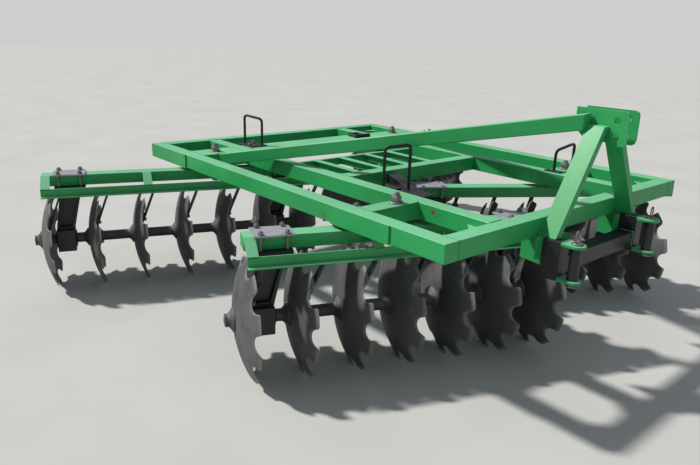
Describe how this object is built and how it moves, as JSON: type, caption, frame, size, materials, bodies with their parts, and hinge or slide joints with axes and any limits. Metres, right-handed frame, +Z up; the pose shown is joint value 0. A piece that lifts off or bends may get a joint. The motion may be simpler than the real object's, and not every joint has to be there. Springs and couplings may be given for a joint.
{
  "type": "disc harrow",
  "caption": "Mounted disc harrow: a rectangular tube frame on a three-point hitch, braced from an A-shaped tower, over four angled gangs of notched dished discs with scrapers.",
  "frame": {"origin": "middle of the footprint at ground level", "axes": "+X to the machine's left, +Y to its rear, away from the hitch, +Z up"},
  "size_m": [3.4422, 2.7828, 1.193],
  "materials": {
    "green_paint": "gloss",
    "black_paint": "satin",
    "grey_plate": "satin",
    "disc_steel": "dusty",
    "zinc": "satin"
  },
  "bodies": {
    "frame": {"side_rails": "green_paint", "end_bars": "green_paint", "inner_bars": "green_paint", "front_pivot_members": "green_paint", "mid_member": "green_paint", "rear_pivot_member": "green_paint", "grid": "green_paint", "corner_gussets": "green_paint", "side_plates": "green_paint", "tower_legs": "green_paint", "top_link_plates": "green_paint", "stays": "green_paint", "hitch_tube": "black_paint", "hitch_blocks": "black_paint", "hitch_gussets": "green_paint", "hitch_clevises": "green_paint", "hitch_pins": "zinc", "depth_channel": "black_paint", "lock_handles": "black_paint", "pivot_bolts": "zinc", "pivot_washers": "green_paint"},
    "front_right_gang": {"front_right_beam": "green_paint", "front_right_clamps": "grey_plate", "front_right_hangers": "black_paint", "front_right_scrapers": "green_paint"},
    "front_right_disc_set": {"front_right_axle": "black_paint", "front_right_discs": "disc_steel"},
    "front_left_gang": {"front_left_beam": "green_paint", "front_left_clamps": "grey_plate", "front_left_hangers": "black_paint", "front_left_scrapers": "green_paint"},
    "front_left_disc_set": {"front_left_axle": "black_paint", "front_left_discs": "disc_steel"},
    "rear_right_gang": {"rear_right_beam": "green_paint", "rear_right_clamps": "grey_plate", "rear_right_hangers": "black_paint", "rear_right_scrapers": "green_paint"},
    "rear_right_disc_set": {"rear_right_axle": "black_paint", "rear_right_discs": "disc_steel"},
    "rear_left_gang": {"rear_left_beam": "green_paint", "rear_left_clamps": "grey_plate", "rear_left_hangers": "black_paint", "rear_left_scrapers": "green_paint"},
    "rear_left_disc_set": {"rear_left_axle": "black_paint", "rear_left_discs": "disc_steel"}
  },
  "joints": [
    {"name": "front_right_gang_angle", "type": "hinge", "parent": "frame", "child": "front_right_gang", "pos_m": [-0.68, -0.6744, 0.63], "axis": [0, 0, 1], "range_deg": [-4, 4]},
    {"name": "front_left_gang_angle", "type": "hinge", "parent": "frame", "child": "front_left_gang", "pos_m": [0.68, -0.6744, 0.63], "axis": [0, 0, 1], "range_deg": [-4, 4]},
    {"name": "rear_right_gang_angle", "type": "hinge", "parent": "frame", "child": "rear_right_gang", "pos_m": [-0.744, 0.8156, 0.63], "axis": [0, 0, 1], "range_deg": [-4, 4]},
    {"name": "rear_left_gang_angle", "type": "hinge", "parent": "frame", "child": "rear_left_gang", "pos_m": [0.744, 0.8156, 0.63], "axis": [0, 0, 1], "range_deg": [-4, 4]},
    {"name": "front_right_disc_spin", "type": "hinge", "parent": "front_right_gang", "child": "front_right_disc_set", "pos_m": [-0.68, -0.6744, 0.28], "axis": [0.9239, -0.3827, 0], "continuous": true},
    {"name": "front_left_disc_spin", "type": "hinge", "parent": "front_left_gang", "child": "front_left_disc_set", "pos_m": [0.68, -0.6744, 0.28], "axis": [0.8434, -0.5373, 0], "continuous": true},
    {"name": "rear_right_disc_spin", "type": "hinge", "parent": "rear_right_gang", "child": "rear_right_disc_set", "pos_m": [-0.744, 0.8156, 0.28], "axis": [0.9397, -0.342, 0], "continuous": true},
    {"name": "rear_left_disc_spin", "type": "hinge", "parent": "rear_left_gang", "child": "rear_left_disc_set", "pos_m": [0.744, 0.8156, 0.28], "axis": [0.9397, 0.342, 0], "continuous": true}
  ]
}
